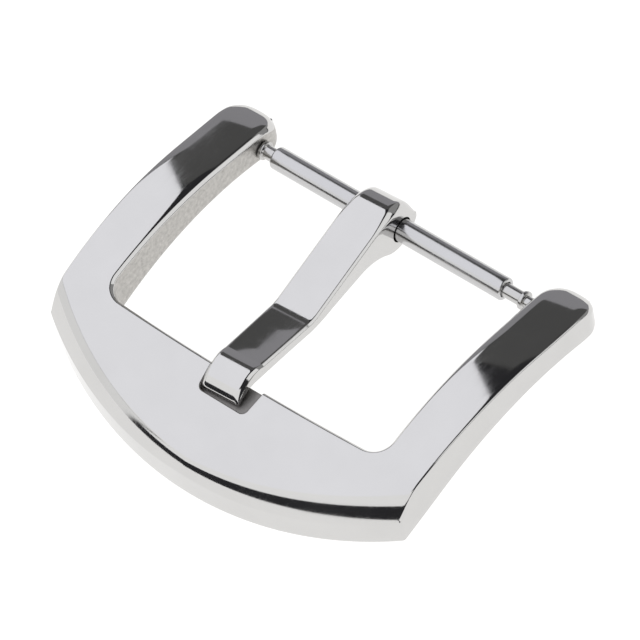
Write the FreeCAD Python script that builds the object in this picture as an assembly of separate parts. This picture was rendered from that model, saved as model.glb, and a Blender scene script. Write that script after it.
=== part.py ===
"""Pin buckle for a 22 mm strap, with its tongue and its sprung strap bar.

Millimetres. The origin is the middle of the strap bar's axis. +X runs along the
bar to the right arm, -Y to the front bar that the tongue rests on, +Z up.
"""
import FreeCAD, Part
import math
import os

V = FreeCAD.Vector

# --- frame, seen from above -------------------------------------------------
CLEAR_WIDTH = 21.76         # between the arms, for a strap of nominal 22 mm
OUTER_HALF_BACK = 14.30     # half width across the arms at the bar
OUTER_HALF_MIDDLE = 14.20   # the same half way along the arms
OUTER_HALF_FRONT = 13.88    # the same at the front corners
ARM_MIDDLE_Y = -9.0
CORNER_Y = -16.65           # front corners
FRONT_Y = -20.77            # foremost point of the curved front
BAR_INNER_Y = -14.54        # inner edge of the front bar beside the arms
BAR_INNER_BOW = 0.20        # how much further forward it is in the middle
OPENING_CORNER_R = 1.3
ARM_END_Y = 2.10            # where the arms' square ends would be, before the nose
ARM_END_OUTER_R = 1.5       # rounding of those ends from above
ARM_END_INNER_R = 1.0

# --- frame, seen from the side ----------------------------------------------
TOP_PEAK = (-8.0, 2.42)     # y and z of the highest point of the arched top
TOP_R = 27.0
UNDER_PEAK = (-6.2, -0.03)  # highest point of the arched underside
UNDER_R = 23.0
UNDER_FLAT_Y = -13.0        # the underside runs straight from here to the front
NOSE_TOP_Y = 0.95           # where the top turns down into the nose of the arm
NOSE_UNDER_Y = 0.85         # and where the nose meets the underside
NOSE_REAR = (2.00, -0.05)   # y and z of the rearmost point of the nose

# --- frame, edges, seat and holes -------------------------------------------
FRONT_ROLL_MIDDLE_R = 0.85  # rounding of the front top edge in the middle
FRONT_ROLL_CORNER_R = 1.45  # and at the corners
OPENING_BEVEL = 0.20
OUTER_EDGE_R = 0.15
SEAT_FRONT_Y = -16.53       # front wall of the recess for the tongue's tip
SEAT_HALF_FRONT = 1.85
SEAT_HALF_MOUTH = 2.12
SEAT_CORNER_R = 0.40
SEAT_FLOOR_BACK_Z = 0.98
SEAT_FLOOR_FRONT_Z = 0.52
PIVOT_HOLE_R = 0.46
PIVOT_HOLE_DEPTH = 1.7

# --- strap bar: a sprung bar of tube, two plungers and a coil spring --------
TUBE_R = 0.75
TUBE_BORE_R = 0.55
TUBE_MOUTH_R = 0.50
TUBE_LIP = 0.50             # length of the narrowed mouth at each end
TUBE_LEFT = -9.75
TUBE_RIGHT = 8.45
TUBE_END_ROUND = 0.14
FLANGE_FACE_LEFT = -10.56   # inner face of each plunger's flange
FLANGE_FACE_RIGHT = 9.75
FLANGE_R = 0.62
FLANGE_THICK = 0.25
NECK_R = 0.465
NECK_LENGTH = 1.82
HEAD_R = 0.52
HEAD_LENGTH = 0.80
TIP_R = 0.40
TIP_LENGTH = 1.50
TIP_ROUND = 0.15
WIRE_R = 0.09
COIL_R = 0.42
COIL_TURNS = 30
WIRE_ARCS = 12              # the wire's round section is drawn as this many arcs
SPRING_GAP = 0.03           # between each end of the coil and its plunger head

# --- tongue -----------------------------------------------------------------
TONGUE_X = -1.25            # middle of its eye on the bar
TONGUE_SKEW = 2.9           # degrees the blade points to the right of square
TONGUE_WIDTH = 3.05
TONGUE_TIP_WIDTH = 2.85
TONGUE_TAPER_Y = -8.8
TONGUE_TIP_Y = -16.22
TONGUE_TIP_CORNER_R = 0.20
EYE_R = 0.84                # runs on the tube with 0.09 mm all round


def arc(a, b, c):
    return Part.Arc(a, b, c).toShape()


def line(a, b):
    return Part.makeLine(a, b)


def top_z(y):
    """Height of the arched top above the bar's axis."""
    return TOP_PEAK[1] - TOP_R + math.sqrt(TOP_R ** 2 - (y - TOP_PEAK[0]) ** 2)


def under_z(y):
    """Height of the underside: an arc that runs out straight to the front."""
    if y >= UNDER_FLAT_Y:
        return UNDER_PEAK[1] - UNDER_R + math.sqrt(UNDER_R ** 2 - (y - UNDER_PEAK[0]) ** 2)
    run = UNDER_PEAK[0] - UNDER_FLAT_Y
    slope = run / math.sqrt(UNDER_R ** 2 - run ** 2)
    return under_z(UNDER_FLAT_Y) - slope * (UNDER_FLAT_Y - y)


def corner_arc(corner, toward_a, toward_b, radius):
    """Quarter round in a square corner, from one side to the other."""
    a = corner + toward_a * radius
    b = corner + toward_b * radius
    middle = corner + (toward_a + toward_b) * (radius * (1 - math.sqrt(0.5)))
    return arc(a, middle, b), a, b


def right_arm_end(z):
    """The rounded end of the right arm, from the inner wall to the outer wall."""
    half = CLEAR_WIDTH / 2
    left, right, back = V(-1, 0, 0), V(1, 0, 0), V(0, -1, 0)
    inner, a, b = corner_arc(V(half, ARM_END_Y, z), back, right, ARM_END_INNER_R)
    outer, c, d = corner_arc(V(OUTER_HALF_BACK, ARM_END_Y, z), left, back, ARM_END_OUTER_R)
    return [inner, line(b, c), outer], a, d


def mirrored(edges):
    return [e.mirror(V(0, 0, 0), V(1, 0, 0)) for e in edges]


def plan_face(z):
    """The frame's outline from above, opening included, as one C-shaped face."""
    half = CLEAR_WIDTH / 2
    end, inner_start, outer_start = right_arm_end(z)
    side_end = V(OUTER_HALF_FRONT, CORNER_Y, z)
    side = arc(outer_start, V(OUTER_HALF_MIDDLE, ARM_MIDDLE_Y, z), side_end)
    front_sag = CORNER_Y - FRONT_Y
    front_r = (OUTER_HALF_FRONT ** 2 + front_sag ** 2) / (2 * front_sag)
    quarter_x = OUTER_HALF_FRONT / 2
    quarter_y = FRONT_Y + front_r - math.sqrt(front_r ** 2 - quarter_x ** 2)
    front = arc(side_end, V(quarter_x, quarter_y, z), V(0, FRONT_Y, z))
    corner, wall_end, bar_start = corner_arc(
        V(half, BAR_INNER_Y, z), V(0, 1, 0), V(-1, 0, 0), OPENING_CORNER_R)
    wall = line(inner_start, wall_end)
    right = end + [side, front, corner, wall]
    bar = arc(bar_start, V(0, BAR_INNER_Y - BAR_INNER_BOW, z), V(-bar_start.x, bar_start.y, z))
    edges = Part.__sortEdges__(right + mirrored(right) + [bar])
    return Part.Face(Part.Wire(edges))


def side_face(x):
    """The frame's outline from the side: arched, with a rounded nose behind."""
    front_y = FRONT_Y - 3.0

    def top(y):
        return V(x, y, top_z(y))

    def under(y):
        return V(x, y, under_z(y))

    nose = arc(top(NOSE_TOP_Y), V(x, *NOSE_REAR), under(NOSE_UNDER_Y))
    edges = [
        arc(top(front_y), top(-10.0), top(NOSE_TOP_Y)),
        nose,
        arc(under(NOSE_UNDER_Y), under(-6.0), under(UNDER_FLAT_Y)),
        line(under(UNDER_FLAT_Y), under(front_y)),
        line(under(front_y), top(front_y)),
    ]
    return Part.Face(Part.Wire(edges))


def seat_tool():
    """What the recess for the tongue's tip takes out of the front bar."""
    z0, z1 = -1.0, 5.0      # from under the floor to above the arch
    mouth_y = BAR_INNER_Y + 1.0
    drift = (SEAT_HALF_MOUTH - SEAT_HALF_FRONT) / (BAR_INNER_Y - SEAT_FRONT_Y)
    wide = SEAT_HALF_FRONT + drift * (mouth_y - SEAT_FRONT_Y)
    corners = [V(-wide, mouth_y, z0), V(-SEAT_HALF_FRONT, SEAT_FRONT_Y, z0),
               V(SEAT_HALF_FRONT, SEAT_FRONT_Y, z0), V(wide, mouth_y, z0)]
    block = Part.Face(Part.makePolygon(corners + corners[:1])).extrude(V(0, 0, z1 - z0))
    uprights = [e for e in block.Edges
                if abs(e.Vertexes[0].X - e.Vertexes[-1].X) < 1e-6
                and abs(e.Vertexes[0].Y - SEAT_FRONT_Y) < 1e-6
                and abs(e.Vertexes[-1].Y - SEAT_FRONT_Y) < 1e-6]
    block = block.makeFillet(SEAT_CORNER_R, uprights)
    slope = (SEAT_FLOOR_BACK_Z - SEAT_FLOOR_FRONT_Z) / (BAR_INNER_Y - SEAT_FRONT_Y)
    far_back, far_front = mouth_y + 1.0, SEAT_FRONT_Y - 1.0

    def floor(y):
        return SEAT_FLOOR_FRONT_Z + slope * (y - SEAT_FRONT_Y)

    x = -3.0 * SEAT_HALF_FRONT
    wedge = [V(x, far_front, floor(far_front)), V(x, far_back, floor(far_back)),
             V(x, far_back, z1), V(x, far_front, z1)]
    above = Part.Face(Part.makePolygon(wedge + wedge[:1])).extrude(V(-2 * x, 0, 0))
    return block.common(above)


def pivot_hole(side):
    start = V(side * (CLEAR_WIDTH / 2 - 0.5), 0, 0)
    return Part.makeCylinder(PIVOT_HOLE_R, PIVOT_HOLE_DEPTH + 0.5, start, V(side, 0, 0))


def frame_blank():
    plan = plan_face(-6.0).extrude(V(0, 0, 12.0))
    side = side_face(-16.0).extrude(V(32.0, 0, 0))
    return plan.common(side).removeSplitter()


def edge_middle(edge):
    return edge.valueAt((edge.FirstParameter + edge.LastParameter) / 2)


def on_front(point):
    """True on the curved front wall."""
    front_sag = CORNER_Y - FRONT_Y
    front_r = (OUTER_HALF_FRONT ** 2 + front_sag ** 2) / (2 * front_sag)
    reach = math.hypot(point.x, point.y - FRONT_Y - front_r)
    return point.y < CORNER_Y - 0.5 and abs(reach - front_r) < 0.01


def rolled_front(solid):
    """Rounds the top front edge, more at the corners than in the middle."""
    edges = [e for e in solid.Edges
             if on_front(edge_middle(e)) and edge_middle(e).z > under_z(edge_middle(e).y) + 1.0]
    return solid.makeFillet(FRONT_ROLL_MIDDLE_R, FRONT_ROLL_CORNER_R, edges)


def on_opening(point):
    """True on the inner walls of the arms and the front bar, forward of the nose."""
    half = CLEAR_WIDTH / 2
    beside_bar = BAR_INNER_Y - BAR_INNER_BOW - 0.01
    return abs(point.x) < half + 0.01 and beside_bar < point.y < NOSE_UNDER_Y


def bevelled_opening(solid):
    """Breaks the top edge all round the opening."""
    edges = [e for e in solid.Edges
             if on_opening(edge_middle(e)) and abs(edge_middle(e).z - top_z(edge_middle(e).y)) < 0.01
             and e.BoundBox.ZLength < e.Length * 0.9]
    return solid.makeChamfer(OPENING_BEVEL, edges)


def eased_sides(solid):
    """Takes the sharpness off the long outer edges of the two arms."""
    def on_side(point):
        return OUTER_HALF_FRONT < abs(point.x) and CORNER_Y < point.y < 0
    edges = [e for e in solid.Edges
             if on_side(edge_middle(e)) and abs(edge_middle(e).z - top_z(edge_middle(e).y)) < 0.01]
    return solid.makeFillet(OUTER_EDGE_R, edges)


def buckle_frame():
    solid = rolled_front(frame_blank().Solids[0])
    solid = eased_sides(bevelled_opening(solid))
    solid = solid.cut(seat_tool())
    for side in (-1, 1):
        solid = solid.cut(pivot_hole(side))
    return solid


def ring(x0, x1, radius):
    return Part.makeCylinder(radius, x1 - x0, V(x0, 0, 0), V(1, 0, 0))


def spring_bar_tube():
    tube = ring(TUBE_LEFT, TUBE_RIGHT, TUBE_R)
    tube = tube.makeFillet(TUBE_END_ROUND, [e for e in tube.Edges if len(e.Vertexes) == 1])
    tube = tube.cut(ring(TUBE_LEFT + TUBE_LIP, TUBE_RIGHT - TUBE_LIP, TUBE_BORE_R))
    return tube.cut(ring(TUBE_LEFT - 1, TUBE_RIGHT + 1, TUBE_MOUTH_R))


def plunger(flange_face, side):
    """Head, neck, flange and tip; side is +1 for the right-hand plunger."""
    head_end = flange_face - side * NECK_LENGTH
    stations = [
        (HEAD_R, head_end - side * HEAD_LENGTH, head_end),
        (NECK_R, head_end, flange_face),
        (FLANGE_R, flange_face, flange_face + side * FLANGE_THICK),
        (TIP_R, flange_face + side * FLANGE_THICK, flange_face + side * (FLANGE_THICK + TIP_LENGTH)),
    ]
    tip_end = stations[-1][2]
    parts = [ring(min(a, b), max(a, b), r) for r, a, b in stations]
    solid = parts[0].multiFuse(parts[1:])
    rim = [e for e in solid.Edges
           if abs(e.BoundBox.XMin - tip_end) < 1e-4 and abs(e.BoundBox.XMax - tip_end) < 1e-4]
    return solid.makeFillet(TIP_ROUND, rim)


def spring_bar_spring():
    start = FLANGE_FACE_LEFT + NECK_LENGTH + HEAD_LENGTH + SPRING_GAP + WIRE_R
    end = FLANGE_FACE_RIGHT - NECK_LENGTH - HEAD_LENGTH - SPRING_GAP - WIRE_R
    length = end - start
    helix = Part.makeHelix(length / COIL_TURNS, length, COIL_R)
    step = 2 * math.pi / WIRE_ARCS
    section = Part.Circle(V(COIL_R, 0, 0), V(0, 1, 0), WIRE_R)
    arcs = [Part.ArcOfCircle(section, i * step, (i + 1) * step).toShape() for i in range(WIRE_ARCS)]
    wire = Part.Wire(arcs)
    coil = Part.Wire(helix).makePipeShell([wire], True, True)
    coil.rotate(V(0, 0, 0), V(0, 1, 0), 90)
    coil.translate(V(start, 0, 0))
    return coil


def tongue_profile(x):
    """The tongue from the side: an eye, a flat, a shallow bend and a hooked tip."""
    def p(y, z):
        return V(x, y, z)
    edges = [
        line(p(-0.75, 2.16), p(-8.35, 0.86)),
        arc(p(-8.35, 0.86), p(-8.85, 0.83), p(-9.35, 0.91)),
        line(p(-9.35, 0.91), p(-13.55, 1.80)),
        arc(p(-13.55, 1.80), p(-15.20, 1.92), p(-16.22, 1.06)),
        arc(p(-16.22, 1.06), p(-16.20, 0.84), p(-16.00, 0.76)),
        arc(p(-16.00, 0.76), p(-15.30, 1.08), p(-14.60, 1.14)),
        arc(p(-14.60, 1.14), p(-11.90, 0.66), p(-9.30, 0.14)),
        arc(p(-9.30, 0.14), p(-8.20, 0.04), p(-7.10, 0.07)),
        line(p(-7.10, 0.07), p(-3.90, 0.07)),
        arc(p(-3.90, 0.07), p(-2.55, -0.28), p(-1.55, -0.92)),
        arc(p(-1.55, -0.92), p(0.25, -1.17), p(1.36, -0.30)),
        arc(p(1.36, -0.30), p(1.10, 1.18), p(-0.75, 2.16)),
    ]
    return Part.Face(Part.Wire(edges))


def tongue_plan():
    """The tongue from above, before it is set at its angle."""
    half, tip = TONGUE_WIDTH / 2, TONGUE_TIP_WIDTH / 2
    r = TONGUE_TIP_CORNER_R
    z = -3.0
    back = 3.0
    right = [
        line(V(half, back, z), V(half, TONGUE_TAPER_Y, z)),
        line(V(half, TONGUE_TAPER_Y, z), V(tip, TONGUE_TIP_Y + r, z)),
        arc(V(tip, TONGUE_TIP_Y + r, z), V(tip - 0.3 * r, TONGUE_TIP_Y + 0.3 * r, z),
            V(tip - r, TONGUE_TIP_Y, z)),
    ]
    across = [line(V(-half, back, z), V(half, back, z)),
              line(V(-tip + r, TONGUE_TIP_Y, z), V(tip - r, TONGUE_TIP_Y, z))]
    edges = Part.__sortEdges__(right + mirrored(right) + across)
    return Part.Face(Part.Wire(edges))


def tongue():
    blade = tongue_profile(-3.0).extrude(V(6.0, 0, 0))
    solid = blade.common(tongue_plan().extrude(V(0, 0, 8.0)))
    solid.rotate(V(0, 0, 0), V(0, 0, 1), TONGUE_SKEW)
    solid.translate(V(TONGUE_X, 0, 0))
    return solid.cut(ring(TONGUE_X - 4, TONGUE_X + 4, EYE_R))


NODES = {
    "buckle_frame": buckle_frame,
    "tongue": tongue,
    "spring_bar_tube": spring_bar_tube,
    "spring_bar_plunger_left": lambda: plunger(FLANGE_FACE_LEFT, -1),
    "spring_bar_plunger_right": lambda: plunger(FLANGE_FACE_RIGHT, 1),
    "spring_bar_spring": spring_bar_spring,
}

os.makedirs("parts", exist_ok=True)
for name, build in NODES.items():
    shape = build()
    solid = shape if shape.ShapeType == "Solid" else shape.Solids[0]
    solid.exportStep("parts/" + name + ".step")
    box = solid.BoundBox
    print(name, len(shape.Solids), "solid, volume %.2f" % solid.Volume, "valid", solid.isValid(),
          [round(v, 2) for v in (box.XMin, box.XMax, box.YMin, box.YMax, box.ZMin, box.ZMax)])
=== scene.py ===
# %% [markdown]
# # A polished pin buckle on its sprung strap bar
# The buckle is one curved piece of polished steel, with a hooked tongue that turns on a thin
# sprung bar between its two arms. Everything below is built in the same frame as the CAD:
# the origin is the middle of the bar, +X runs to the right arm, -Y to the front, +Z up.

# %% Load the frame
import math

import bmesh
import bpy
import numpy as np
from mathutils import Matrix, Vector


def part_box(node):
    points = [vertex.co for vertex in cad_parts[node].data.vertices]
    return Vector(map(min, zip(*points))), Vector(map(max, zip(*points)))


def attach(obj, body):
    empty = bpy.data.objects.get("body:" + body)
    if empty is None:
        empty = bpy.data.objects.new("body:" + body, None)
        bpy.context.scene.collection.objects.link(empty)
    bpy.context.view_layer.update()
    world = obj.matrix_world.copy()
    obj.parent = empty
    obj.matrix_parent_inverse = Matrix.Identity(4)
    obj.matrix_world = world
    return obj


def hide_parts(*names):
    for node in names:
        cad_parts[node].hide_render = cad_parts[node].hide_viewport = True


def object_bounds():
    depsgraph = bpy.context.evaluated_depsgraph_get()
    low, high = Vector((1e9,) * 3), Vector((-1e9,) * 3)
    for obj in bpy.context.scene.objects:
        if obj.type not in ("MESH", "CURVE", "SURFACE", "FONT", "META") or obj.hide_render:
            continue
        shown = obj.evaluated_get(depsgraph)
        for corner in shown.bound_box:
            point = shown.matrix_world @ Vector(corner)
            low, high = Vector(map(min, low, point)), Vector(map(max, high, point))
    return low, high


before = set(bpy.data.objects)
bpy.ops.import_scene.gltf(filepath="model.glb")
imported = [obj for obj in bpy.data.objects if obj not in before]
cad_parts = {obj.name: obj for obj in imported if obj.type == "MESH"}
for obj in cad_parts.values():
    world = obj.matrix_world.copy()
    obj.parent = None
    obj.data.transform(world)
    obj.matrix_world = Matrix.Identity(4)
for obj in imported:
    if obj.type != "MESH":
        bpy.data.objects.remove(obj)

cad_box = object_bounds()
MM = 0.001
print("CAD box in mm:", [[round(v / MM, 2) for v in corner] for corner in cad_box])

# %% [markdown]
# ## Camera
# The buckle is small, so it is looked at from above its front right corner through a long lens,
# which keeps both arms nearly parallel. The camera could be aimed with a constraint, but three
# plain axis vectors say its tilt exactly and also roll it, which a constraint can't do alone.

# %% Camera
CAMERA_AIM = Vector((0.67, -8.20, 0.31)) * MM
CAMERA_DISTANCE = 406.27 * MM
CAMERA_LENS = 381.1
camera_right = Vector((0.75867, 0.63576, -0.14223))
camera_up = Vector((-0.44808, 0.66770, 0.59447))
camera_back = Vector((0.47291, -0.38728, 0.79144))

camera_data = bpy.data.cameras.new("camera")
camera_data.sensor_width = 36.0
camera_data.lens = CAMERA_LENS
camera_data.clip_start = 0.01
camera_data.clip_end = 20.0
camera = bpy.data.objects.new("camera", camera_data)
bpy.context.scene.collection.objects.link(camera)
axes = Matrix((camera_right, camera_up, camera_back)).transposed().to_4x4()
camera.matrix_world = Matrix.Translation(CAMERA_AIM + camera_back * CAMERA_DISTANCE) @ axes
bpy.context.scene.camera = camera
bpy.context.scene.view_settings.view_transform = "Standard"
print("camera stands", round(CAMERA_DISTANCE, 3), "m away")

# %% [markdown]
# ## Floor and lights
# Mirror-polished steel shows nothing but its surroundings, so the lighting is the larger half of
# its look. It could be one bright dome, but steel under a dome is plain grey. Here a few soft
# panels stand round the buckle with dark room between them: each edge of a panel becomes a
# clean line in the metal. The floor glows a little by itself, as a lit table does, so it stays
# pale right up to the steel.

# %% Floor and soft panels
ROOM_GREY = (0.030, 0.030, 0.033, 1.0)
world = bpy.data.worlds.new("studio")
world.use_nodes = True
world.node_tree.nodes["Background"].inputs["Color"].default_value = ROOM_GREY
world.node_tree.nodes["Background"].inputs["Strength"].default_value = 1.0
bpy.context.scene.world = world


def new_material(name):
    """An empty node material and its output node."""
    material = bpy.data.materials.new(name)
    material.use_nodes = True
    nodes = material.node_tree.nodes
    nodes.clear()
    return material, nodes, material.node_tree.links, nodes.new("ShaderNodeOutputMaterial")


def flat_panel(name, width, height):
    """A rectangle facing its own +Z, in metres."""
    x, y = width / 2, height / 2
    mesh = bpy.data.meshes.new(name)
    mesh.from_pydata([(-x, -y, 0), (x, -y, 0), (x, y, 0), (-x, y, 0)], [], [(0, 1, 2, 3)])
    panel = bpy.data.objects.new(name, mesh)
    bpy.context.scene.collection.objects.link(panel)
    return panel


def floor_finish():
    material, nodes, links, out = new_material("pale_table")
    glow = nodes.new("ShaderNodeEmission")
    glow.inputs["Color"].default_value = (1.0, 0.995, 0.985, 1.0)
    glow.inputs["Strength"].default_value = 0.96
    matt = nodes.new("ShaderNodeBsdfDiffuse")
    matt.inputs["Color"].default_value = (0.25, 0.25, 0.25, 1.0)
    both = nodes.new("ShaderNodeAddShader")
    links.new(glow.outputs[0], both.inputs[0])
    links.new(matt.outputs[0], both.inputs[1])
    links.new(both.outputs[0], out.inputs["Surface"])
    return material


floor = flat_panel("floor", 6.0, 6.0)
floor.location = (0.0, 0.0, cad_box[0][2] - 0.00002)
floor.data.materials.append(floor_finish())


def panel_glow(name, radiance, colour, soft):
    """Light that fades over the outer part of a panel, soft being that part's share."""
    material, nodes, links, out = new_material(name)
    place = nodes.new("ShaderNodeTexCoord")
    split = nodes.new("ShaderNodeSeparateXYZ")
    links.new(place.outputs["Generated"], split.inputs[0])
    fades = []
    for axis in ("X", "Y"):
        middle = nodes.new("ShaderNodeMath")
        middle.operation = "PINGPONG"
        middle.inputs[1].default_value = 0.5
        links.new(split.outputs[axis], middle.inputs[0])
        fade = nodes.new("ShaderNodeMapRange")
        fade.interpolation_type = "SMOOTHSTEP"
        fade.inputs["From Min"].default_value = 0.0
        fade.inputs["From Max"].default_value = max(soft / 2, 0.001)
        fade.inputs["To Max"].default_value = 1.0
        links.new(middle.outputs[0], fade.inputs["Value"])
        fades.append(fade)
    power = nodes.new("ShaderNodeMath")
    power.operation = "MULTIPLY"
    links.new(fades[0].outputs["Result"], power.inputs[0])
    links.new(fades[1].outputs["Result"], power.inputs[1])
    level = nodes.new("ShaderNodeMath")
    level.operation = "MULTIPLY"
    level.inputs[1].default_value = radiance
    links.new(power.outputs[0], level.inputs[0])
    glow = nodes.new("ShaderNodeEmission")
    glow.inputs["Color"].default_value = (*colour, 1.0)
    links.new(level.outputs[0], glow.inputs["Strength"])
    links.new(glow.outputs[0], out.inputs["Surface"])
    return material


def soft_panel(name, toward, wide, tall, radiance, colour=(1.0, 1.0, 1.0), soft=0.1,
               away=0.9, top=(0.0, 0.0, 1.0)):
    """A glowing panel seen from the buckle in the direction toward, wide by tall degrees."""
    toward = Vector(toward).normalized()
    side = Vector(top).cross(toward).normalized()
    upright = toward.cross(side)
    width = 2 * away * math.tan(math.radians(wide / 2))
    height = 2 * away * math.tan(math.radians(tall / 2))
    panel = flat_panel(name, width, height)
    turn = Matrix((-side, upright, -toward)).transposed().to_4x4()
    panel.matrix_world = Matrix.Translation(toward * away) @ turn
    panel.data.materials.append(panel_glow(name + "_glow", radiance, colour, soft))
    panel.visible_camera = False
    return panel


OVERHEAD_HEIGHT = 0.60
OVERHEAD_TURN = math.radians(140)
overhead_along = Vector((math.cos(OVERHEAD_TURN), math.sin(OVERHEAD_TURN), 0.0))
overhead_across = Vector((overhead_along.y, -overhead_along.x, 0.0))


def overhead_panel(name, along, across, radiance, colour, soft):
    """A panel flat over the buckle; along and across are its limits in units of its height."""
    width = (along[1] - along[0]) * OVERHEAD_HEIGHT
    depth = (across[1] - across[0]) * OVERHEAD_HEIGHT
    panel = flat_panel(name, width, depth)
    centre = (overhead_along * (along[0] + along[1]) / 2 + overhead_across * (across[0] + across[1]) / 2
              + Vector((0.0, 0.0, 1.0))) * OVERHEAD_HEIGHT
    turn = Matrix((overhead_along, overhead_across, Vector((0, 0, -1)))).transposed().to_4x4()
    panel.matrix_world = Matrix.Translation(centre) @ turn
    panel.data.materials.append(panel_glow(name + "_glow", radiance, colour, soft))
    panel.visible_camera = False
    return panel


overhead_panel("overhead_panel", (-0.9, 2.1), (-1.9, 0.08), 1.16, (0.985, 0.99, 1.035), 0.002)
soft_panel("left_panel", (-0.92, -0.30, 0.24), 66, 34, 1.02, soft=0.08)
soft_panel("front_panel", (0.05, -0.86, 0.54), 110, 32, 1.12, soft=0.04)
soft_panel("right_panel", (0.79, 0.39, 0.45), 40, 36, 1.10, soft=0.1)
soft_panel("back_panel", (-0.25, 0.90, 0.56), 110, 40, 0.095, soft=0.06)
soft_panel("back_right_panel", (0.30, 0.92, 0.42), 56, 42, 0.34, soft=0.03)
soft_panel("back_low_panel", (-0.42, 0.90, 0.33), 84, 42, 0.34, (0.99, 0.98, 1.04), soft=0.22)
print("floor at", round(floor.location.z / MM, 2), "mm; four soft panels")

# %% [markdown]
# ## Steel finishes
# The whole buckle is stainless steel, but not all of it is finished alike. The outside is
# mirror-polished, with the hair-thin lines and faint haze that a polishing wheel and wear leave.
# The inner walls of the arms were only tumbled, so they are satin and grainy. The bar's tube is
# drawn, which leaves lines along it, and the plungers are turned, which leaves rings round them.
# Image textures could carry these marks, but noise in the nodes stays sharp at any size.

# %% Steel finishes
STEEL = (0.612, 0.607, 0.600, 1.0)


def ramp(nodes, links, source, low, high, to_low, to_high):
    """Spreads part of a noise's range over a range of roughness or height."""
    spread = nodes.new("ShaderNodeMapRange")
    spread.inputs["From Min"].default_value = low
    spread.inputs["From Max"].default_value = high
    spread.inputs["To Min"].default_value = to_low
    spread.inputs["To Max"].default_value = to_high
    links.new(source, spread.inputs["Value"])
    return spread.outputs["Result"]


def noise_field(nodes, links, scale, stretch=(1.0, 1.0, 1.0), detail=4.0, rough=0.55):
    """Noise in the piece's own coordinates, in cells per metre, drawn out along an axis."""
    place = nodes.new("ShaderNodeTexCoord")
    lay = nodes.new("ShaderNodeMapping")
    lay.inputs["Scale"].default_value = stretch
    noise = nodes.new("ShaderNodeTexNoise")
    noise.inputs["Scale"].default_value = scale
    noise.inputs["Detail"].default_value = detail
    noise.inputs["Roughness"].default_value = rough
    links.new(place.outputs["Object"], lay.inputs["Vector"])
    links.new(lay.outputs["Vector"], noise.inputs["Vector"])
    return noise.outputs["Fac"]


def steel(name, colour, roughness, marks, marks_stretch, marks_height, haze_scale=350.0,
          mottle=0.965):
    """Steel with haze (uneven roughness), fine marks (bump) and a trace of mottled colour."""
    material, nodes, links, out = new_material(name)
    shader = nodes.new("ShaderNodeBsdfPrincipled")
    shader.inputs["Metallic"].default_value = 1.0
    links.new(shader.outputs[0], out.inputs["Surface"])

    haze = noise_field(nodes, links, haze_scale, detail=5.0, rough=0.6)
    fine = noise_field(nodes, links, marks, marks_stretch, detail=3.0)
    wear = nodes.new("ShaderNodeMath")
    wear.operation = "MULTIPLY"
    links.new(haze, wear.inputs[0])
    links.new(fine, wear.inputs[1])
    links.new(ramp(nodes, links, wear.outputs[0], 0.12, 0.42, *roughness), shader.inputs["Roughness"])

    tone = nodes.new("ShaderNodeValToRGB")
    tone.color_ramp.elements[0].position = 0.30
    tone.color_ramp.elements[0].color = tuple(c * mottle for c in colour[:3]) + (1.0,)
    tone.color_ramp.elements[1].position = 0.70
    tone.color_ramp.elements[1].color = colour
    links.new(haze, tone.inputs["Fac"])
    links.new(tone.outputs["Color"], shader.inputs["Base Color"])

    bump = nodes.new("ShaderNodeBump")
    bump.inputs["Strength"].default_value = 1.0
    bump.inputs["Distance"].default_value = marks_height
    links.new(fine, bump.inputs["Height"])
    links.new(bump.outputs["Normal"], shader.inputs["Normal"])
    return material


polished = steel("polished_steel", STEEL, (0.045, 0.115), 9000.0, (1.0, 0.06, 1.0), 0.00000012)
polished_tongue = steel("polished_steel_tongue", STEEL, (0.045, 0.125), 9000.0, (1.0, 0.05, 1.0),
                        0.00000012)
satin = steel("satin_steel", (0.560, 0.545, 0.520, 1.0), (0.26, 0.46), 9000.0, (1.0, 1.0, 1.0),
              0.0000060, haze_scale=3600.0, mottle=0.66)
# The recess floor and the pivot holes get a steel colour about half as bright as the polished steel:
# painted shade, darkening the hollows that the tongue tip and the walls shade.
recess_painted_shade_steel = steel("recess_painted_shade_steel", (0.30, 0.29, 0.28, 1.0), (0.42, 0.58), 14000.0,
                     (1.0, 0.25, 1.0), 0.0000010)
drawn_tube = steel("drawn_tube_steel", (0.560, 0.558, 0.562, 1.0), (0.12, 0.22), 14000.0,
                   (0.03, 1.0, 1.0), 0.0000003)
turned = steel("turned_steel", (0.55, 0.545, 0.54, 1.0), (0.10, 0.22), 16000.0,
               (1.0, 0.05, 0.05), 0.0000006)
spring_steel = steel("spring_wire_steel", (0.50, 0.49, 0.47, 1.0), (0.16, 0.30), 16000.0,
                     (1.0, 1.0, 1.0), 0.0000005)
print("finishes:", [m.name for m in bpy.data.materials if "steel" in m.name])

# %% [markdown]
# ## Turning numbers into a mesh
# Every piece here is a stack of cross-sections: a section with the same number of points is worked
# out at each station along the piece, and neighbouring sections are joined with four-sided faces.
# Subdivision modelling would give a similar skin, but a mirror finish shows every wobble of a
# hand-made cage. Sections worked out from the real curves keep reflections clean.

# %% Mesh helpers
WELD = 0.0005
SHARP_ANGLE = math.radians(33)


def new_piece(name, points, faces, finishes, finish_of=None):
    """An object from points in millimetres, welded shut and with every face looking outward.

    The mesh stays in millimetres until it is settled."""
    mesh = bpy.data.meshes.new(name)
    mesh.from_pydata([tuple(p) for p in points], [], [tuple(f) for f in faces])
    for finish in finishes:
        mesh.materials.append(finish)
    if finish_of is not None:
        mesh.polygons.foreach_set("material_index", finish_of)
    mesh.validate()
    shell = bmesh.new()
    shell.from_mesh(mesh)
    bmesh.ops.remove_doubles(shell, verts=shell.verts, dist=WELD)
    bmesh.ops.dissolve_degenerate(shell, edges=shell.edges, dist=WELD)
    bmesh.ops.recalc_face_normals(shell, faces=shell.faces)
    shell.to_mesh(mesh)
    shell.free()
    piece = bpy.data.objects.new(name, mesh)
    bpy.context.scene.collection.objects.link(piece)
    return piece


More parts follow.
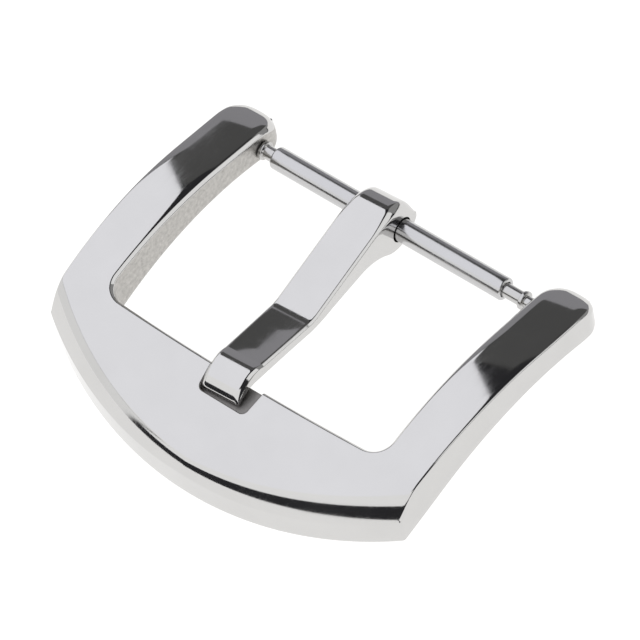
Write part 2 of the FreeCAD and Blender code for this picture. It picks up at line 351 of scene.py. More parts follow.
def joined_sections(sections, closed=False):
    """Faces between neighbouring sections, each section being a closed loop of n points."""
    count, n = sections.shape[:2]
    faces = []
    for i in range(count if closed else count - 1):
        a, b = i * n, ((i + 1) % count) * n
        for j in range(n):
            k = (j + 1) % n
            faces.append((a + j, a + k, b + k, b + j))
    return faces


def carved(piece, cutters):
    """Cuts the cutters out of the piece, for good, and removes them."""
    for cutter in cutters:
        cut = piece.modifiers.new(cutter.name, "BOOLEAN")
        cut.operation = "DIFFERENCE"
        cut.solver = "EXACT"
        cut.object = cutter
    bpy.context.view_layer.update()
    seen = bpy.context.evaluated_depsgraph_get()
    mesh = bpy.data.meshes.new_from_object(piece.evaluated_get(seen))
    piece.modifiers.clear()
    piece.data = mesh
    for cutter in cutters:
        bpy.data.objects.remove(cutter)
    return piece


def settled(piece, body, slot, *nodes):
    """Metres, smooth shading with sharp creases kept, and a place on a body of the frame."""
    mesh = piece.data
    mesh.transform(Matrix.Scale(MM, 4))
    mesh.polygons.foreach_set("use_smooth", [True] * len(mesh.polygons))
    mesh.set_sharp_from_angle(angle=SHARP_ANGLE)
    mesh.update()
    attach(piece, body)
    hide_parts(*nodes)
    print(piece.name, "has", len(mesh.polygons), "faces, size in mm",
          [round(v / MM, 2) for v in piece.dimensions])
    return piece

# %% [markdown]
# ## The buckle frame: its outline and its arch
# The frame is pressed and milled from thick strip: seen from above it is a shield-shaped C, and
# seen from the side it arches over the wrist. It could be cut out of a block with booleans, as
# the CAD does, but those edges are knife-sharp. A polished edge is always a little rolled, and
# that roll is what catches the light, so each section gets its own rolled and broken edges.

# %% Frame outline seen from above
frame_low, frame_high = [tuple(v / MM for v in corner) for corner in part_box("buckle_frame")]
HALF_BACK = frame_high[0]
HALF_OPENING = 10.88
FRONT_Y = frame_low[1]
NOSE_Y = frame_high[1]
HALF_MIDDLE, MIDDLE_Y = HALF_BACK - 0.10, -9.0
HALF_CORNER, CORNER_Y = HALF_BACK - 0.42, -16.65
BAR_Y, BAR_BOW = -14.54, 0.20
OPENING_R = 1.30
ARM_END_Y, ARM_END_IN_R, ARM_END_OUT_R = 2.10, 1.40, 1.50
UPRIGHT_EDGE_R = 0.12
front_rise = CORNER_Y - FRONT_Y
FRONT_R = (HALF_CORNER ** 2 + front_rise ** 2) / (2 * front_rise)
FRONT_CENTRE = np.array([0.0, FRONT_Y + FRONT_R])


def quarter_round(past, radius):
    """How far a rounded corner stands back, past the start of its rounding."""
    past = np.clip(past, 0.0, radius)
    return radius - np.sqrt(radius ** 2 - past ** 2)


def outer_x(y):
    """Half width over the arms: a very slack curve from the corners to the back."""
    back_y = ARM_END_Y - ARM_END_OUT_R
    curve = np.polyfit([back_y, MIDDLE_Y, CORNER_Y], [HALF_BACK, HALF_MIDDLE, HALF_CORNER], 2)
    return np.polyval(curve, np.minimum(y, back_y)) - quarter_round(y - back_y, ARM_END_OUT_R)


def inner_x(y):
    return HALF_OPENING + quarter_round(y - (ARM_END_Y - ARM_END_IN_R), ARM_END_IN_R)


def front_y(x):
    return FRONT_CENTRE[1] - np.sqrt(FRONT_R ** 2 - x ** 2)


def bar_y(x):
    """Inner edge of the front bar, bowed forward a little in the middle."""
    return BAR_Y - BAR_BOW * (1 - (x / (HALF_OPENING - OPENING_R)) ** 2)


print("front radius", round(FRONT_R, 2), "mm; width at the corners", round(2 * HALF_CORNER, 2), "mm")

# %% Frame arch seen from the side
TOP_PEAK, TOP_R, TOP_STRAIGHT_Y = (-8.0, frame_high[2]), 27.0, -3.5
UNDER_PEAK, UNDER_R, UNDER_STRAIGHT_Y = (-6.2, -0.03), 23.0, -13.0
NOSE_START_Y = -0.40
NOSE_POWER = 2.2
NOSE_MID_Z = 0.25


def arched_top(y):
    bent = np.minimum(y, TOP_STRAIGHT_Y)
    run = bent - TOP_PEAK[0]
    rise = np.sqrt(TOP_R ** 2 - run ** 2)
    return TOP_PEAK[1] - TOP_R + rise - run / rise * (y - bent)


def arched_under(y):
    run = UNDER_PEAK[0] - UNDER_STRAIGHT_Y
    slope = run / math.sqrt(UNDER_R ** 2 - run ** 2)
    bent = np.maximum(y, UNDER_STRAIGHT_Y)
    arc = UNDER_PEAK[1] - UNDER_R + np.sqrt(UNDER_R ** 2 - (bent - UNDER_PEAK[0]) ** 2)
    return arc - slope * (bent - y)


def nose_share(y):
    """1 along the arm, falling to 0 at the very end of its rounded nose."""
    t = np.clip((y - NOSE_START_Y) / (NOSE_Y - NOSE_START_Y), 0.0, 1.0)
    return (1 - t ** NOSE_POWER) ** (1 / NOSE_POWER)


def nose_middle(y):
    """Height that the arm's top and underside close in on in the nose."""
    start = (arched_top(NOSE_START_Y) + arched_under(NOSE_START_Y)) / 2
    t = np.clip((y - NOSE_START_Y) / (NOSE_Y - NOSE_START_Y), 0.0, 1.0)
    return start + (NOSE_MID_Z - start) * t


def top_height(y):
    middle = nose_middle(y)
    return middle + (arched_top(y) - middle) * nose_share(y)


def under_height(y):
    middle = nose_middle(y)
    return middle + (arched_under(y) - middle) * nose_share(y)


print("strip is", round(float(arched_top(-8.0) - arched_under(-8.0)), 2), "mm thick half way")

# %% Stations round the right half of the frame
NOSE_STATIONS, ARM_STATIONS, FAN_STATIONS, FRONT_STATIONS = 26, 110, 40, 110
FAN_FRONT_X = 10.80


def outer_corner():
    """Outer points from the side wall, round the front corner's small upright edge, to the front."""
    corner = np.array([HALF_CORNER, CORNER_Y])
    side_start = BAR_Y + OPENING_R
    side_y = side_start + (CORNER_Y + UPRIGHT_EDGE_R - side_start) * np.sin(
        np.linspace(0, math.pi / 2, FAN_STATIONS))
    side = np.column_stack([outer_x(side_y), side_y])
    front_x = FAN_FRONT_X + (HALF_CORNER - UPRIGHT_EDGE_R - FAN_FRONT_X) * np.sin(
        np.linspace(math.pi / 2, 0, FAN_STATIONS))
    front = np.column_stack([front_x, front_y(front_x)])
    t = np.linspace(0, 1, 8)[1:-1, None]
    edge = (1 - t) ** 2 * side[-1] + 2 * t * (1 - t) * corner + t ** 2 * front[0]
    return np.vstack([side, edge, front])


def half_outline():
    """Inner and outer points of every station, from the right nose to the middle of the front."""
    t = np.sin(np.linspace(math.pi / 2, 0, NOSE_STATIONS)) ** (2 / NOSE_POWER)
    nose_y = NOSE_START_Y + (NOSE_Y - NOSE_START_Y) * t
    arm_y = np.linspace(NOSE_START_Y, BAR_Y + OPENING_R, ARM_STATIONS)[1:-1]
    y = np.concatenate([nose_y, arm_y])
    inner = np.column_stack([inner_x(y), y])
    outer = np.column_stack([outer_x(y), y])

    fan_outer = outer_corner()
    angle = np.linspace(0, -math.pi / 2, len(fan_outer))
    centre = np.array([HALF_OPENING - OPENING_R, BAR_Y + OPENING_R])
    fan_inner = centre + OPENING_R * np.column_stack([np.cos(angle), np.sin(angle)])

    share = np.linspace(1, 0, FRONT_STATIONS)[1:]
    front_in_x, front_out_x = share * (HALF_OPENING - OPENING_R), share * FAN_FRONT_X
    front_inner = np.column_stack([front_in_x, bar_y(front_in_x)])
    front_outer = np.column_stack([front_out_x, front_y(front_out_x)])
    return (np.vstack([inner, fan_inner, front_inner]),
            np.vstack([outer, fan_outer, front_outer]))


inner_line, outer_line = half_outline()
print(len(inner_line), "stations on each half of the frame")

# %% [markdown]
# ## The frame's edges
# Three kinds of edge meet on this piece. The opening has a small flat bevel all round, the long
# sides are only eased, and the front is rolled over, most at the corners. Bevel modifiers can't
# vary along an edge like that, so each edge is worked out as a depth below the arched top, as
# a milling cutter followed by a polishing wheel would leave it.

# %% Frame edges as depths below the arched top
BEVEL = 0.20
SIDE_EASE = 0.12
UNDER_EASE = 0.16
ROLL_MIDDLE, ROLL_CORNER = 0.75, 1.55
ROLL_SLOPE = 1.68
CROWN = 0.04
SHOULDER, SHOULDER_BACK = 0.12, 0.50
OUTER_SHOULDER, OUTER_SHOULDER_BACK = 0.20, 0.80
SHOULDER_SLOPE = 0.32
OUTER_SHOULDER_GROWS = (-9.0, -2.0)
INNER_SHOULDER_GROWS = (-11.0, -3.0)
NOSE_SIDE_GROWTH, NOSE_SIDE_GROWS = 1.5, (0.0, 1.6)
NOSE_BEVEL_GROWTH, NOSE_BEVEL_GROWS = 0.8, (0.3, 1.6)
THIN = 0.5
BEVEL_SHARE = np.array([0.0, 0.03, 0.10, 0.16, 0.84, 0.92, 1.08, 1.25])
BEVEL_DROP = np.array([1.20, 1.08, 0.92, 0.84, 0.16, 0.085, 0.02, 0.0])


def rolled_depth(distance, radius):
    """Depth of a quarter round that meets a wall, at a distance from that wall."""
    d = np.minimum(distance, radius)
    return radius - np.sqrt(radius ** 2 - (radius - d) ** 2)


def bevel_depth(distance, leg):
    """A flat bevel whose two borders are very slightly rounded."""
    return leg * np.interp(distance / leg, BEVEL_SHARE, BEVEL_DROP)


def toward_back(y, start, end):
    """0 before start and 1 after end, changing smoothly between them."""
    t = np.clip((y - start) / (end - start), 0.0, 1.0)
    return t * t * (3 - 2 * t)


def front_roll_depth(points):
    """Depth of the rolled front edge, which meets the wall at a crisp line.

    Its reach grows from the middle to the corners, and its slope from nothing to ROLL_SLOPE."""
    gap = np.maximum(FRONT_R - np.hypot(points[:, 0], points[:, 1] - FRONT_CENTRE[1]), 0.0)
    reach = ROLL_MIDDLE + (ROLL_CORNER - ROLL_MIDDLE) * np.abs(points[:, 0]) / HALF_CORNER
    t = np.clip(1 - gap / reach, 0.0, 1.0)
    depth = ROLL_SLOPE * reach * t ** 2 / 2
    return np.where(points[:, 1] < BAR_Y + 0.5, depth, 0.0)


def worn_depth(gap, width):
    """Depth of a worn shoulder: its slope grows from nothing to SHOULDER_SLOPE at the edge."""
    t = np.clip(1 - gap / width, 0.0, 1.0)
    return SHOULDER_SLOPE * width * t ** 2 / 2


def side_ease_depth(points, half):
    """Depth of an arm's outer edge: eased, with a worn shoulder that widens towards the back."""
    gap = np.maximum(outer_x(points[:, 1]) - points[:, 0], 0.0)
    back = toward_back(points[:, 1], *OUTER_SHOULDER_GROWS)
    shoulder = OUTER_SHOULDER + (OUTER_SHOULDER_BACK - OUTER_SHOULDER) * back
    ease = SIDE_EASE * (1 + NOSE_SIDE_GROWTH * toward_back(points[:, 1], *NOSE_SIDE_GROWS))
    depth = (rolled_depth(gap, ease) + worn_depth(gap, shoulder)) * min(1.0, half / THIN)
    return np.where(points[:, 1] > CORNER_Y + 0.02, depth, 0.0)


def opening_depth(from_inner, y, half):
    """Bevel of the opening and the worn shoulder above it."""
    bevel = BEVEL * (1 + NOSE_BEVEL_GROWTH * toward_back(y, *NOSE_BEVEL_GROWS))
    shoulder = SHOULDER + (SHOULDER_BACK - SHOULDER) * toward_back(y, *INNER_SHOULDER_GROWS)
    worn = worn_depth(np.maximum(from_inner - bevel, 0.0), shoulder)
    return (bevel_depth(from_inner, bevel) + worn) * min(1.0, half / THIN)


def section_points(inner, outer):
    """One section of the frame, as a closed loop of points, inner wall first."""
    across = outer - inner
    width = np.hypot(*across)
    half = max(float(top_height(inner[1]) - under_height(inner[1])) / 2, 1e-4)
    on_arm = inner[1] > BAR_Y + OPENING_R + 0.01

    near_in = np.array([0.0, 0.03, 0.10, 0.16, 0.50, 0.84, 0.92, 1.08, 1.25]) * BEVEL
    worn_in = np.linspace(near_in[-1], min(0.9, width / 3), 9)[1:]
    reach = OUTER_SHOULDER_BACK if on_arm else ROLL_CORNER
    near_out = width - min(reach, width / 3) * (1 - np.cos(np.linspace(math.pi / 2, 0, 26)))
    between = np.linspace(worn_in[-1], near_out[0], 20)[1:-1]
    d = np.concatenate([near_in, worn_in, between, near_out])
    top = inner + across * (d / width)[:, None]
    depth = front_roll_depth(top) + side_ease_depth(top, half) + opening_depth(d, inner[1], half)
    crown = CROWN * (2 * d / width - 1) ** 2 * np.clip((inner[1] - BAR_Y) / 6.0, 0.0, 1.0)
    z = top_height(top[:, 1]) - depth - crown * min(1.0, half)

    turn = np.linspace(0, math.pi / 2, 5)
    under_d = np.concatenate([UNDER_EASE * (1 - np.cos(turn)), width * np.linspace(0.15, 0.85, 12),
                              width - UNDER_EASE * (1 - np.cos(turn[::-1]))])
    under = inner + across * (under_d / width)[:, None]
    rise = rolled_depth(under_d, UNDER_EASE) + rolled_depth(width - under_d, UNDER_EASE)
    under_z = under_height(under[:, 1]) + rise * min(1.0, 0.8 * half / UNDER_EASE)

    wall = np.linspace(0, 1, 10)[1:-1]
    outer_wall = z[-1] + (under_z[-1] - z[-1]) * wall
    inner_wall = under_z[0] + (z[0] - under_z[0]) * wall
    loop = [np.column_stack([top, z]),
            np.column_stack([np.tile(outer, (len(wall), 1)), outer_wall]),
            np.column_stack([under, under_z])[::-1],
            np.column_stack([np.tile(inner, (len(wall), 1)), inner_wall])]
    return np.vstack(loop), [len(part) for part in loop]


right_half = []
for inner_point, outer_point in zip(inner_line, outer_line):
    loop, loop_parts = section_points(inner_point, outer_point)
    right_half.append(loop)
right_half = np.array(right_half)
left_half = (right_half * np.array([-1.0, 1.0, 1.0]))[::-1][1:]
frame_sections = np.concatenate([right_half, left_half])
print("frame sections:", frame_sections.shape[0], "of", frame_sections.shape[1], "points")

# %% Frame mesh with closed noses
frame_faces = joined_sections(frame_sections)
loop_size = frame_sections.shape[1]
inner_wall_start = loop_size - loop_parts[3] - 1
frame_finish = [1 if (i % loop_size) >= inner_wall_start else 0 for i in range(len(frame_faces))]


def nose_cap(first):
    """Closes an end whose top and bottom rows lie on one line."""
    ring = list(range(first, first + loop_size))
    return ring if first == 0 else ring[::-1]


for first in (0, (len(frame_sections) - 1) * loop_size):
    frame_faces.append(nose_cap(first))
    frame_finish.append(0)
buckle = new_piece("buckle_frame_body", frame_sections.reshape(-1, 3), frame_faces,
                   [polished, satin, recess_painted_shade_steel], frame_finish)

# %% [markdown]
# ## The recess and the pivot holes
# The tongue's tip drops into a shallow recess milled into the front bar, and the bar's two tips
# sit in blind holes in the arms. Both are real cuts with a cutter's shape, so here a boolean is
# the honest way: the cutter is modelled, with the small flare that deburring leaves at its rim.

# %% Recess and pivot holes
SEAT_FRONT_Y, SEAT_HALF_FRONT, SEAT_HALF_MOUTH = -16.53, 1.85, 2.12
SEAT_CORNER_R = 0.40
SEAT_FLOOR_BACK_Z, SEAT_FLOOR_FRONT_Z = 0.98, 0.52
SEAT_FLOOR_ROUND = 0.22
SEAT_RIM = 0.07
PIVOT_HOLE_R, PIVOT_HOLE_DEPTH = 0.46, 1.70


def seat_outline(grow):
    """Recess outline from the left of its mouth, round the front, to the right of its mouth."""
    drift = (SEAT_HALF_MOUTH - SEAT_HALF_FRONT) / (BAR_Y - SEAT_FRONT_Y)
    mouth_y = BAR_Y + 0.8
    radius = SEAT_CORNER_R + grow
    half_front = SEAT_HALF_FRONT + grow
    low_y = SEAT_FRONT_Y - grow
    angle = np.linspace(0, math.pi / 2, 12)
    corner = np.column_stack([half_front - radius + radius * np.cos(angle),
                              low_y + radius - radius * np.sin(angle)])
    side_y = np.linspace(mouth_y, low_y + radius, 24)[:-1]
    side = np.column_stack([half_front + drift * (side_y - low_y - radius), side_y])
    front_x = np.linspace(half_front - radius, 0, 14)[1:]
    right = np.vstack([side, corner, np.column_stack([front_x, np.full(len(front_x), low_y)])])
    left = (right * np.array([-1.0, 1.0]))[:-1]
    return np.vstack([left, right[::-1]])


def seat_floor(y):
    slope = (SEAT_FLOOR_BACK_Z - SEAT_FLOOR_FRONT_Z) / (BAR_Y - SEAT_FRONT_Y)
    return SEAT_FLOOR_FRONT_Z + slope * (y - SEAT_FRONT_Y)


def seat_cutter():
    rings = []
    for angle in np.linspace(0, math.pi / 2, 7):
        grow = -SEAT_FLOOR_ROUND * (1 - math.sin(angle))
        lift = SEAT_FLOOR_ROUND * (1 - math.cos(angle))
        line = seat_outline(grow)
        rings.append(np.column_stack([line, seat_floor(line[:, 1]) + lift]))
    for grow, above in ((0.0, -SEAT_RIM), (SEAT_RIM, 0.0), (0.6, 0.6 - SEAT_RIM)):
        line = seat_outline(grow)
        rings.append(np.column_stack([line, arched_top(line[:, 1]) + above]))
    rings = np.array(rings)
    faces = joined_sections(rings)
    n, last = rings.shape[1], (rings.shape[0] - 1) * rings.shape[1]
    faces.append(list(range(n))[::-1])
    faces.append(list(range(last, last + n)))
    return new_piece("seat_cutter", rings.reshape(-1, 3), faces, [polished, satin, recess_painted_shade_steel],
                     [2] * len(faces))


def turned_points(profile, steps, offset=0.0):
    """Rings round the X axis from a profile of (x, radius)."""
    angle = np.linspace(0, 2 * math.pi, steps, endpoint=False) + offset
    rings = [np.column_stack([np.full(steps, x), r * np.cos(angle), r * np.sin(angle)])
             for x, r in profile]
    return np.array(rings)


def pivot_cutter(side):
    start = HALF_OPENING
    profile = [(start - 0.5, PIVOT_HOLE_R + 0.04), (start, PIVOT_HOLE_R + 0.04),
               (start + 0.04, PIVOT_HOLE_R), (start + PIVOT_HOLE_DEPTH, PIVOT_HOLE_R),
               (start + PIVOT_HOLE_DEPTH + 0.25, 0.02)]
    rings = turned_points([(side * x, r) for x, r in profile], 64)
    if side > 0:
        rings = rings[:, ::-1]
    faces = joined_sections(rings)
    n, last = rings.shape[1], (rings.shape[0] - 1) * rings.shape[1]
    faces.append(list(range(n))[::-1])
    faces.append(list(range(last, last + n)))
    return new_piece("pivot_cutter", rings.reshape(-1, 3), faces, [polished, satin, recess_painted_shade_steel],
                     [2] * len(faces))


# The cut faces of the recess and the pivot holes carry the darkened steel: painted shade.
carved(buckle, [seat_cutter(), pivot_cutter(-1), pivot_cutter(1)])
settled(buckle, "frame", "polished_steel_frame", "buckle_frame")

# %% [markdown]
# ## The tongue
# The tongue is a stamped and bent blade: a rolled eye on the bar, a flat, a shallow bend where it
# dives under the strap's hole, and a hooked tip. Its shape never changes across its width except
# at the edges, so one side profile is drawn from lines and arcs, and the sections run across it
# with a flat bevel along both upper edges. The eye is bored last, square to the bar, because the
# blade hangs a little askew on its loose eye.

# %% Tongue profile and sections
TONGUE_X = -1.25
TONGUE_SKEW = math.radians(2.9)
TONGUE_HALF, TONGUE_TIP_HALF = 1.525, 1.43
TONGUE_TAPER_Y, TONGUE_TIP_Y, TONGUE_TIP_R = -8.8, -16.22, 0.16
TONGUE_BEVEL, TONGUE_UNDER_EASE = 0.16, 0.08
TONGUE_ROUNDING, TONGUE_DISH = 0.32, 0.05
TIP_ROUNDING_SHARE = 0.35
HUB_ROUNDS, TIP_ROUNDS = (-2.6, 0.6), (13.6, 15.6)
DISH_STARTS, DISH_ENDS = (9.3, 10.6), (-14.2, -12.6)
EYE_R = 0.84


def arc_through(a, b, c, count):
    """Points on the circle through three points, from a to c, without c."""
    (ax, ay), (bx, by), (cx, cy) = a, b, c
    d = 2 * (ax * (by - cy) + bx * (cy - ay) + cx * (ay - by))
    ux = ((ax**2 + ay**2) * (by - cy) + (bx**2 + by**2) * (cy - ay) + (cx**2 + cy**2) * (ay - by)) / d
    uy = ((ax**2 + ay**2) * (cx - bx) + (bx**2 + by**2) * (ax - cx) + (cx**2 + cy**2) * (bx - ax)) / d
    start, way, end = (math.atan2(y - uy, x - ux) for x, y in (a, b, c))
    turn = (end - start) % (2 * math.pi)
    if (way - start) % (2 * math.pi) > turn:
        turn -= 2 * math.pi
    angle = start + turn * np.linspace(0, 1, count, endpoint=False)
    radius = math.hypot(ax - ux, ay - uy)
    return np.column_stack([ux + radius * np.cos(angle), uy + radius * np.sin(angle)])


def run_between(a, b, count=40):
    t = np.linspace(0, 1, count, endpoint=False)[:, None]
    return np.array(a) * (1 - t) + np.array(b) * t


tongue_loop = np.vstack([
    run_between((-0.75, 2.16), (-8.35, 0.86)),
    arc_through((-8.35, 0.86), (-8.85, 0.83), (-9.35, 0.91), 40),
    run_between((-9.35, 0.91), (-13.55, 1.80)),
    arc_through((-13.55, 1.80), (-15.20, 1.92), (-16.22, 1.06), 120),
    arc_through((-16.22, 1.06), (-16.20, 0.84), (-16.00, 0.76), 60),
    arc_through((-16.00, 0.76), (-15.30, 1.08), (-14.60, 1.14), 60),
    arc_through((-14.60, 1.14), (-11.90, 0.66), (-9.30, 0.14), 80),
    arc_through((-9.30, 0.14), (-8.20, 0.04), (-7.10, 0.07), 60),
    run_between((-7.10, 0.07), (-3.90, 0.07)),
    arc_through((-3.90, 0.07), (-2.55, -0.28), (-1.55, -0.92), 60),
    arc_through((-1.55, -0.92), (0.25, -1.17), (1.36, -0.30), 200),
    arc_through((1.36, -0.30), (1.10, 1.18), (-0.75, 2.16), 200),
])
rear, tip = int(np.argmax(tongue_loop[:, 0])), int(np.argmin(tongue_loop[:, 0]))
turned_loop = np.roll(tongue_loop, -rear, axis=0)
tip_at = (tip - rear) % len(tongue_loop)
upper_line = turned_loop[:tip_at + 1][::-1]
lower_line = np.vstack([turned_loop[tip_at:], turned_loop[:1]])
print("tongue runs from", np.round(upper_line[0], 2), "to", np.round(upper_line[-1], 2))


def tongue_stations():
    """Places along the tongue, crowded at its tip and at the back of its eye."""
    tip_y, rear_y = upper_line[0, 0], upper_line[-1, 0]
    tip_round = tip_y + 0.9 * (1 - np.cos(np.linspace(0, math.pi / 2, 26)))
    rear_round = rear_y - 1.2 * (1 - np.cos(np.linspace(math.pi / 2, 0, 40)))
    between = np.linspace(tip_round[-1], rear_round[0], 200)[1:-1]
    return np.concatenate([tip_round, between, rear_round])


def tongue_half_width(y):
    share = np.clip((y - TONGUE_TAPER_Y) / (TONGUE_TIP_Y - TONGUE_TAPER_Y), 0.0, 1.0)
    half = TONGUE_HALF + (TONGUE_TIP_HALF - TONGUE_HALF) * share
    past = np.clip(TONGUE_TIP_Y + TONGUE_TIP_R - y, 0.0, TONGUE_TIP_R * 0.995)
    return half - (TONGUE_TIP_R - np.sqrt(TONGUE_TIP_R ** 2 - past ** 2))


def tongue_section(y):
    high = float(np.interp(y, upper_line[:, 0], upper_line[:, 1]))
    low = float(np.interp(y, lower_line[:, 0], lower_line[:, 1]))
    thick = max(high - low, 0.0)
    half = float(tongue_half_width(y))
    at_hub, at_tip = toward_back(y, *HUB_ROUNDS), toward_back(-y, *TIP_ROUNDS)
    leg = TONGUE_BEVEL + TONGUE_ROUNDING * (at_hub + TIP_ROUNDING_SHARE * at_tip)
    bevel = min(leg, 0.42 * thick)
    ease = min(TONGUE_UNDER_EASE, 0.3 * thick)
    rounded = at_hub + at_tip
    share = np.array([0.0, 0.03, 0.10, 0.16, 0.30, 0.44, 0.58, 0.72, 0.84, 0.92, 1.08, 1.25])
    flat_drop = np.interp(share, BEVEL_SHARE, BEVEL_DROP)
    round_drop = 1.20 * np.clip(1 - share / 1.25, 0.0, 1.0) ** 2
    drop = flat_drop + (round_drop - flat_drop) * rounded
    edge_x, edge_z = half - leg * share[::-1], high - bevel * drop[::-1]
    flat_x = np.linspace(-edge_x[0], edge_x[0], 26)[1:-1]
    wall = np.linspace(edge_z[-1], low + ease, 10)[1:]
    turn = np.linspace(0, math.pi / 2, 4)[1:]
    under_x = half - TONGUE_UNDER_EASE * (1 - np.cos(turn))
    under_z = low + ease * (1 - np.sin(turn))
    right = np.vstack([np.column_stack([edge_x, edge_z]),
                       np.column_stack([np.full(len(wall), half), wall]),
                       np.column_stack([under_x, under_z])])
    left = (right * np.array([-1.0, 1.0]))[::-1]
    dished = TONGUE_DISH * toward_back(-y, *DISH_STARTS) * toward_back(y, *DISH_ENDS)
    top = np.column_stack([flat_x, high - dished * (1 - (flat_x / edge_x[0]) ** 2)])
    under_flat_x = np.linspace(right[-1, 0], -right[-1, 0], 14)[1:-1]
    under = np.column_stack([under_flat_x, np.full(len(under_flat_x), low)])
    loop = np.vstack([top, right, under, left])
    return np.column_stack([loop[:, 0], np.full(len(loop), y), loop[:, 1]])


tongue_sections = np.array([tongue_section(y) for y in tongue_stations()])
tongue_faces = joined_sections(tongue_sections)
ring_size = tongue_sections.shape[1]
last_ring = (len(tongue_sections) - 1) * ring_size
tongue_faces.append(list(range(ring_size))[::-1])
tongue_faces.append(list(range(last_ring, last_ring + ring_size)))
tongue_points = tongue_sections.reshape(-1, 3)
turn = np.array([[math.cos(TONGUE_SKEW), -math.sin(TONGUE_SKEW), 0.0],
                 [math.sin(TONGUE_SKEW), math.cos(TONGUE_SKEW), 0.0], [0.0, 0.0, 1.0]])
tongue_points = tongue_points @ turn.T + np.array([TONGUE_X, 0.0, 0.0])
tongue = new_piece("tongue_blade", tongue_points, tongue_faces, [polished_tongue, turned])


def eye_cutter():
    profile = [(-3.0, EYE_R + 0.01), (3.0, EYE_R + 0.01)]
    rings = turned_points([(TONGUE_X + x, r) for x, r in profile], 160)[:, ::-1]
    faces = joined_sections(rings)
    n = rings.shape[1]
    faces.append(list(range(n))[::-1])
    faces.append(list(range(n, 2 * n)))
    return new_piece("eye_cutter", rings.reshape(-1, 3), faces, [polished_tongue, turned],
                     [1] * len(faces))


carved(tongue, [eye_cutter()])
settled(tongue, "tongue", "polished_steel_tongue", "tongue")

# %% [markdown]
# ## The sprung strap bar
# The bar is four pieces: a drawn tube, a turned plunger in each end and a coil spring between
# them. Tube and plungers are round, so their profiles are turned about the bar's axis. The tube's
# mouth is crimped inward over the plunger's head, which keeps the plunger in.

# %% Tube
tube_low, tube_high = [tuple(v / MM for v in corner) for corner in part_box("spring_bar_tube")]
TUBE_R, TUBE_BORE_R, TUBE_MOUTH_R, TUBE_LIP, TUBE_ROUND = 0.75, 0.55, 0.50, 0.50, 0.14
LATHE_STEPS = 96


def rounded_corner(centre_x, centre_r, radius, start, end, count=6):
    """Arc of a turned profile, between two angles in degrees."""
    angle = np.radians(np.linspace(start, end, count))
    return [(centre_x + radius * math.cos(a), centre_r + radius * math.sin(a)) for a in angle]


def turned_piece(name, profile, finish, closed_profile=False):
    """A piece turned about the bar; an open profile starts and ends on the axis."""
    rings = turned_points(profile, LATHE_STEPS)
    faces = joined_sections(rings, closed=closed_profile)
    if not closed_profile:
        n, last = rings.shape[1], (rings.shape[0] - 1) * rings.shape[1]
        faces.append(list(range(n))[::-1])
        faces.append(list(range(last, last + n)))
    return new_piece(name, rings.reshape(-1, 3), faces, [finish])


def tube_profile():
    """Outside from left to right, then back along the bore, with a crimped mouth at each end."""
    left, right = tube_low[0], tube_high[0]
    outside = rounded_corner(left + TUBE_ROUND, TUBE_R - TUBE_ROUND, TUBE_ROUND, 180, 90)
    runs = [(x, TUBE_R) for x in np.linspace(left + 0.8, right - 0.8, 24)]
    outside += runs + rounded_corner(right - TUBE_ROUND, TUBE_R - TUBE_ROUND, TUBE_ROUND, 90, 0)
    mouth = 0.04
    right_lip = [(right, TUBE_MOUTH_R + mouth), (right - mouth, TUBE_MOUTH_R),
                 (right - TUBE_LIP + mouth, TUBE_MOUTH_R), (right - TUBE_LIP - mouth, TUBE_BORE_R)]
    left_lip = [(left + TUBE_LIP + mouth, TUBE_BORE_R), (left + TUBE_LIP - mouth, TUBE_MOUTH_R),
                (left + mouth, TUBE_MOUTH_R), (left, TUBE_MOUTH_R + mouth)]
    return outside + right_lip + left_lip


tube = turned_piece("strap_bar_tube", tube_profile(), drawn_tube, closed_profile=True)
settled(tube, "bar_tube", "steel_tube", "spring_bar_tube")

# %% Plungers
FLANGE_R, FLANGE_THICK, FLANGE_ROUND = 0.62, 0.25, 0.05
NECK_R, NECK_LENGTH = 0.465, 1.82
HEAD_R, HEAD_LENGTH = 0.52, 0.80
TIP_R, TIP_LENGTH, TIP_ROUND = 0.40, 1.50, 0.15


def plunger_profile():
    """From the hidden head, along the neck and over the flange, to the tip. 0 is the flange."""
    head = -NECK_LENGTH - HEAD_LENGTH
    points = [(head, 0.02)] + rounded_corner(head + 0.06, HEAD_R - 0.06, 0.06, 180, 90, 4)
    points += [(-NECK_LENGTH - 0.04, HEAD_R), (-NECK_LENGTH, HEAD_R - 0.04), (-NECK_LENGTH, NECK_R)]
    points += [(x, NECK_R) for x in np.linspace(-NECK_LENGTH + 0.1, -0.05, 8)]
    points += [(0.0, NECK_R + 0.04), (0.0, FLANGE_R - FLANGE_ROUND)]
    points += rounded_corner(FLANGE_ROUND, FLANGE_R - FLANGE_ROUND, FLANGE_ROUND, 180, 90, 5)
    points += rounded_corner(FLANGE_THICK - FLANGE_ROUND, FLANGE_R - FLANGE_ROUND, FLANGE_ROUND, 90, 0, 5)
    points += [(FLANGE_THICK, TIP_R + 0.03), (FLANGE_THICK + 0.03, TIP_R)]
    tip_end = FLANGE_THICK + TIP_LENGTH
    points += rounded_corner(tip_end - TIP_ROUND, TIP_R - TIP_ROUND, TIP_ROUND, 90, 0)
    return points + [(tip_end, 0.02)]


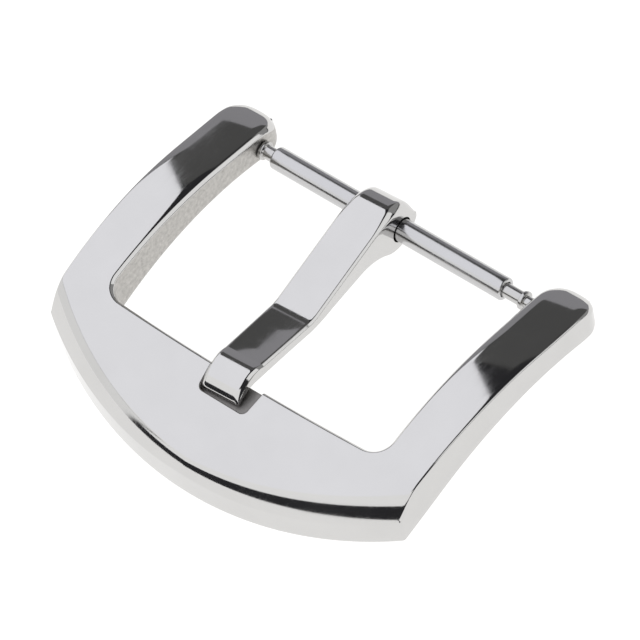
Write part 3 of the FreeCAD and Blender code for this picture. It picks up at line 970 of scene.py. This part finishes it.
for word, side in (("left", -1), ("right", 1)):
    node = "spring_bar_plunger_" + word
    low, high = [tuple(v / MM for v in corner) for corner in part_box(node)]
    tip_end = low[0] if side < 0 else high[0]
    flange = tip_end - side * (FLANGE_THICK + TIP_LENGTH)
    profile = [(flange + side * x, r) for x, r in plunger_profile()]
    if side < 0:
        profile = profile[::-1]
    piece = turned_piece("strap_bar_plunger_" + word, profile, turned)
    settled(piece, "plunger_" + word, "steel_plunger", node)

# %% [markdown]
# ## The spring inside the tube
# A coil of thin wire keeps both plungers out in their holes. It can't be seen when the bar is
# whole, but it is a real piece. A curve with a round bevel would do, but a mesh swept along a
# helix lets the last turns close up flat, as a cut compression spring's do.

# %% Spring
spring_low, spring_high = [tuple(v / MM for v in corner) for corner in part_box("spring_bar_spring")]
WIRE_R, COIL_R, COIL_TURNS = 0.09, 0.42, 30
WIRE_STEPS, TURN_STEPS = 10, 28


def spring_points():
    start, end = spring_low[0] + WIRE_R, spring_high[0] - WIRE_R
    t = np.linspace(0, 1, COIL_TURNS * TURN_STEPS + 1)
    crowd = 0.028
    along = np.interp(t, [0, 1.2 / COIL_TURNS, 1 - 1.2 / COIL_TURNS, 1], [0, crowd, 1 - crowd, 1])
    angle = 2 * math.pi * COIL_TURNS * t
    middle = np.column_stack([start + (end - start) * along,
                              COIL_R * np.cos(angle), COIL_R * np.sin(angle)])
    forward = np.gradient(middle, axis=0)
    forward /= np.linalg.norm(forward, axis=1)[:, None]
    outward = np.column_stack([np.zeros(len(t)), np.cos(angle), np.sin(angle)])
    beside = np.cross(forward, outward)
    rings = []
    for step in np.linspace(0, 2 * math.pi, WIRE_STEPS, endpoint=False):
        rings.append(middle + WIRE_R * 0.98 * (math.cos(step) * outward + math.sin(step) * beside))
    return np.stack(rings, axis=1)


spring_sections = spring_points()
spring_faces = joined_sections(spring_sections)
last_wire = (len(spring_sections) - 1) * WIRE_STEPS
spring_faces.append(list(range(WIRE_STEPS))[::-1])
spring_faces.append(list(range(last_wire, last_wire + WIRE_STEPS)))
spring = new_piece("strap_bar_spring", spring_sections.reshape(-1, 3), spring_faces, [spring_steel])
settled(spring, "bar_tube", "spring_wire", "spring_bar_spring")
